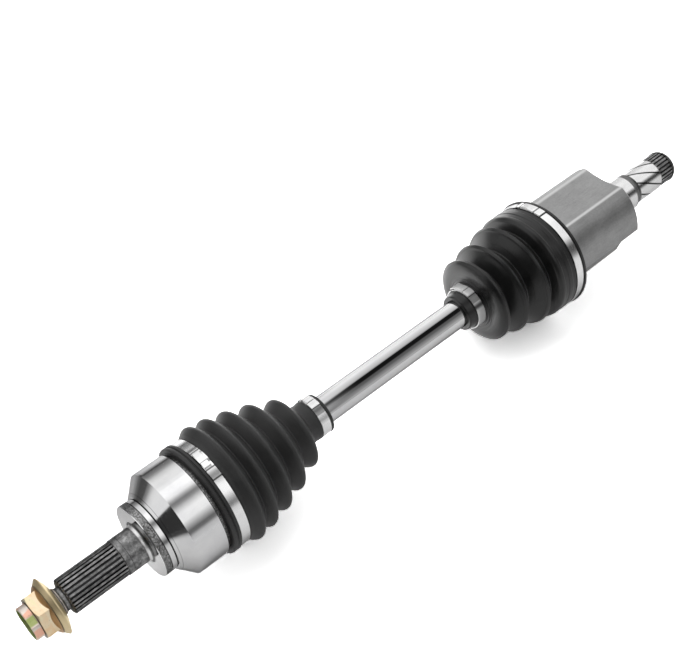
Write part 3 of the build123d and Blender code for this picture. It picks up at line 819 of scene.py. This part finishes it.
def studio_world():
    """Surrounding light as a function of the angle round the axle, with its own set for the bell, the
    bar and the housing, and darker low down towards the wheel end."""
    world = bpy.data.worlds.new("studio")
    bpy.context.scene.world = world
    world.use_nodes = True
    tree = world.node_tree
    tree.nodes.clear()

    def add(kind, **settings):
        node = tree.nodes.new(kind)
        for key, value in settings.items():
            setattr(node, key, value)
        return node

    def scalar(operation, a, b):
        node = add("ShaderNodeMath", operation=operation)
        for value, socket in zip((a, b), node.inputs):
            if isinstance(value, bpy.types.NodeSocket):
                tree.links.new(value, socket)
            else:
                socket.default_value = value
        return node.outputs[0]

    def ramp(value, stops):
        node = add("ShaderNodeValToRGB")
        elements = node.color_ramp.elements
        while len(elements) < len(stops):
            elements.new(0.5)
        for element, (position, level) in zip(elements, stops):
            element.position = position
            element.color = (level, level, level, 1.0)
        tree.links.new(value, node.inputs[0])
        return node.outputs[0]

    def blend(factor, first, second):
        node = add("ShaderNodeMix", data_type="RGBA")
        for value, socket in zip((factor, first, second), (node.inputs[0], node.inputs[6], node.inputs[7])):
            if isinstance(value, bpy.types.NodeSocket):
                tree.links.new(value, socket)
            else:
                socket.default_value = (value, value, value, 1.0)
        return node.outputs[2]

    def step(value, low, high):
        node = add("ShaderNodeMapRange", interpolation_type="SMOOTHSTEP")
        node.inputs["From Min"].default_value = low
        node.inputs["From Max"].default_value = high
        tree.links.new(value, node.inputs["Value"])
        return node.outputs[0]

    direction = add("ShaderNodeTexCoord").outputs["Generated"]
    split_direction = add("ShaderNodeSeparateXYZ")
    tree.links.new(direction, split_direction.inputs[0])
    x, y, z = split_direction.outputs
    turn = scalar("DIVIDE", scalar("ARCTAN2", scalar("MAXIMUM", z, 0.0), y), math.pi)
    peak = 1.8

    def arch(levels):
        """Light against the angle round the axle, in degrees from +Y up and over."""
        return ramp(turn, [(angle / 180, level / peak) for angle, level in levels])

    over_bell = arch(
        [
            (0, 0.20), (11, 0.30), (18, 0.50), (24, 0.78), (35, 1.0), (50, 1.05), (60, 1.35),
            (74, 1.45), (84, 1.15), (90, 0.60), (96, 0.24), (102, 0.36), (109, 0.75), (119, 1.18),
            (135, 1.10), (146, 0.55), (156, 0.16), (162, 0.20), (168, 0.62), (180, 0.80),
        ]
    )
    over_bar = arch(
        [
            (0, 1.25), (14, 1.35), (30, 1.25), (42, 1.05), (54, 0.80), (74, 0.76), (81, 0.45),
            (86, 0.01), (114, 0.01), (117, 0.08), (122, 0.13), (134, 0.15), (146, 0.27), (158, 0.36),
            (170, 0.52), (180, 0.55),
        ]
    )
    over_housing = arch(
        [
            (0, 0.85), (35, 0.90), (50, 1.10), (85, 1.05), (122, 1.10), (134, 0.32), (142, 0.04),
            (152, 0.04), (160, 0.15), (170, 0.70), (180, 0.80),
        ]
    )
    dome = blend(step(x, 0.33, 0.42), over_bell, over_bar)
    dome = blend(step(x, 0.535, 0.575), dome, over_housing)
    low_sky = blend(step(z, 0.0, 0.17), 0.13, 0.56)
    wheel_side = blend(step(y, 0.13, 0.16), 0.022, low_sky)
    dome = blend(step(x, -0.42, -0.28), wheel_side, dome)
    studio = add("ShaderNodeBackground")
    studio.inputs["Strength"].default_value = peak
    tree.links.new(dome, studio.inputs["Color"])
    backdrop = add("ShaderNodeBackground")
    backdrop.inputs["Color"].default_value = (1.0, 1.0, 1.0, 1.0)
    path = add("ShaderNodeLightPath")
    chosen = add("ShaderNodeMixShader")
    tree.links.new(path.outputs["Is Camera Ray"], chosen.inputs[0])
    tree.links.new(studio.outputs[0], chosen.inputs[1])
    tree.links.new(backdrop.outputs[0], chosen.inputs[2])
    tree.links.new(chosen.outputs[0], add("ShaderNodeOutputWorld").inputs["Surface"])


def camera():
    """Looks down along the axle from beyond the nut, to one side of it."""
    eye = Vector((-0.4370, -0.4168, 0.7644))
    heading = Vector((0.43012, 0.47510, -0.76764))
    roll = math.radians(0.3)
    data = bpy.data.cameras.new("camera")
    data.lens = 63.62
    data.sensor_width = 36.0
    data.sensor_fit = "HORIZONTAL"
    data.clip_start = 0.01
    data.clip_end = 50.0
    obj = bpy.data.objects.new("camera", data)
    obj.location = eye
    level = heading.to_track_quat("-Z", "Y")
    obj.rotation_euler = (level @ Quaternion((0, 0, 1), roll)).to_euler()
    bpy.context.collection.objects.link(obj)
    bpy.context.scene.camera = obj


# ---- build ------------------------------------------------------------------------------------
camera()
studio_world()
stage_floor()
bpy.context.scene.view_settings.view_transform = "Standard"

# The nut_washer node isn't listed, so it keeps the plain material that it was packed with.
node_materials = {
    "shaft": polished_bar(),
    "outboard_housing": bell_steel(),
    "axle_nut": yellow_zinc(),
    "tripod_housing": housing_steel(),
}
slot_materials = {
    "race_steel": ground_steel("race_steel", low=0.36, high=0.46, smooth=0.22, coarse=0.34),
    "ball_steel": ground_steel("ball_steel", low=0.70, high=0.78, smooth=0.06, coarse=0.10),
    "spring_steel": ground_steel("spring_steel", low=0.10, high=0.20, smooth=0.30, coarse=0.42),
}
for part in frame["record"]["subparts"]:
    node = part["node"]
    finish = node_materials.get(node) or slot_materials.get(part["material_slot"])
    if finish:
        for slot in frame["nodes"][node].material_slots:
            slot.material = finish

outboard_boot(boot_rubber("outboard_rubber", low=0.018, high=0.038, matt=0.62, gloss=0.46, sheen_scale=40.0))
inboard_boot(boot_rubber("inboard_rubber", low=0.006, high=0.016, matt=0.40, gloss=0.26, sheen_scale=60.0))

adapter_outside = [
    (405.6, 44.9, 0),
    (405.6, 45.4, 0.3),
    (406.1, 45.75, 0.3),
    (428.2, 45.75, 0.3),
    (428.8, 45.4, 0.3),
    (428.8, 44.9, 0),
]
adapter = lobed_ring("trilobe_adapter_skin", rounded(adapter_outside))
paint(adapter, boot_rubber("adapter_rubber", low=0.02, high=0.035, matt=0.6, gloss=0.45, sheen_scale=50.0))
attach(adapter, "tulip")
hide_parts("trilobe_adapter")

large_band = clamp_stainless("clamp_stainless", 1.0, (78.5, 101.5, 112.0))
end_band = clamp_stainless("clamp_end", 1.0, (61.5, 79.5, 88.0))
bar_band = clamp_stainless("clamp_bar", 0.75, (78.5, 100.0), lap_shade=0.5)
neck_band = clamp_stainless("clamp_neck", 0.30, (80.5, 102.0), lap_shade=0.5)

# Each row: name, body, steel, start, width, inner radius, thickness, tail angle, lap angle, tongue.
for row in (
    ("outboard_large_clamp", "bell", large_band, 56.8, 7.8, 44.6, 1.0, 77.0, 112.0, (83.0, 94.0, 0.9)),
    ("outboard_small_clamp", "shaft", bar_band, 161.2, 8.2, 15.9, 0.9, 38.0, 100.0, (34.0, 52.0, 0.9)),
    ("inboard_small_clamp", "shaft", neck_band, 331.6, 8.0, 17.9, 0.9, 38.0, 102.0, (34.0, 52.0, 0.9)),
    ("inboard_large_clamp", "tulip", end_band, 419.6, 7.6, 48.7, 0.9, 58.0, 88.0, None),
):
    clamp(*row)

# Each row: name, body, steel, start, width, inner radius, thickness, first angle, last angle.
for row in (
    ("outboard_large_clamp_lock", "bell", large_band, 57.2, 5.6, 46.7, 1.0, 79.0, 101.0),
    ("outboard_small_clamp_lock", "shaft", bar_band, 161.8, 6.4, 17.8, 0.9, 42.0, 78.0),
    ("inboard_small_clamp_lock", "shaft", neck_band, 332.2, 6.4, 19.8, 0.9, 42.0, 80.0),
    ("inboard_large_clamp_lock", "tulip", end_band, 420.2, 4.4, 50.55, 0.7, 62.0, 79.0),
):
    lock(*row)
